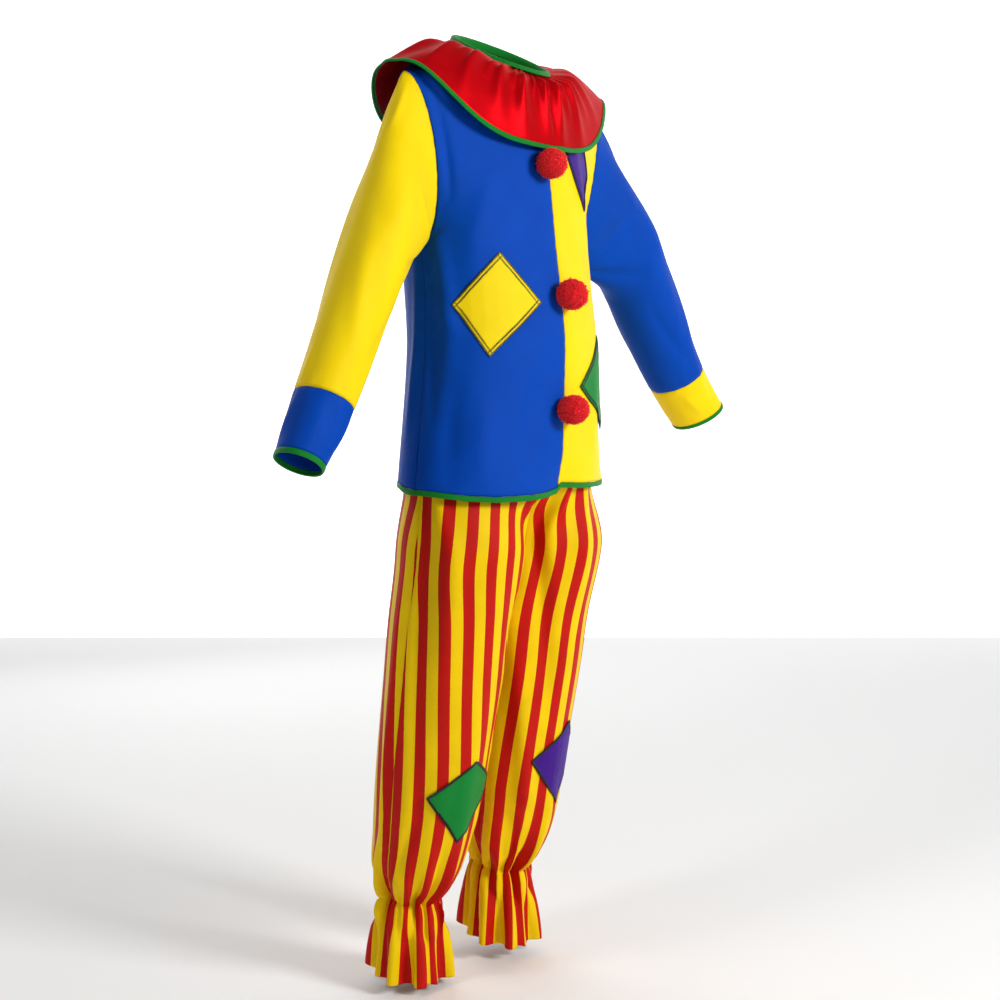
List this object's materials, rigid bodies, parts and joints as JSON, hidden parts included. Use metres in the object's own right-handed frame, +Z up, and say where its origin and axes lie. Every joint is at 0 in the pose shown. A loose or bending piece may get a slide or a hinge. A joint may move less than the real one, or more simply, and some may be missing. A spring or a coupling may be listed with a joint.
{
  "type": "clown costume",
  "caption": "Worn-shape clown costume: parti-coloured blouse with gathered ruffle collar and pompoms, striped trousers gathered at the ankles.",
  "frame": {"origin": "middle of the neck opening, between the shoulders that hold the costume", "axes": "+Z up along the body, the front faces -Y, the wearer's left hand is at +X"},
  "size_m": [1.0863, 0.348, 1.5042],
  "materials": {
    "cloth_blue": "smooth blue polyester with a slight sheen",
    "cloth_yellow": "smooth yellow polyester with a slight sheen",
    "satin_red": "glossy red satin, gathered",
    "binding_green": "folded green binding with one line of stitches",
    "patch_yellow": "yellow polyester with dark zigzag stitching round the edge",
    "patch_green": "green polyester with black zigzag stitching round the edge",
    "patch_purple": "purple polyester with black zigzag stitching round the edge",
    "wool_red": "fluffy red wool yarn",
    "stripes": "smooth polyester with upright red and yellow stripes"
  },
  "bodies": {
    "root": {"front_right": "cloth_blue", "front_left": "cloth_yellow", "back_right": "cloth_blue", "back_left": "cloth_yellow", "sleeve_right": "cloth_yellow", "sleeve_left": "cloth_blue", "cuff_right": "cloth_blue", "cuff_left": "cloth_yellow", "cuff_binding_right": "binding_green", "cuff_binding_left": "binding_green", "hem_binding": "binding_green", "collar": "satin_red", "collar_binding": "binding_green", "neck_binding": "binding_green", "pompom_top": "wool_red", "pompom_middle": "wool_red", "pompom_bottom": "wool_red", "patch_yellow_front": "patch_yellow", "patch_green_front": "patch_green", "patch_purple_chest": "patch_purple", "leg_front_right": "stripes", "leg_front_left": "stripes", "leg_back_right": "stripes", "leg_back_left": "stripes", "waistband": "stripes", "patch_green_knee": "patch_green", "patch_purple_knee": "patch_purple"}
  },
  "joints": []
}
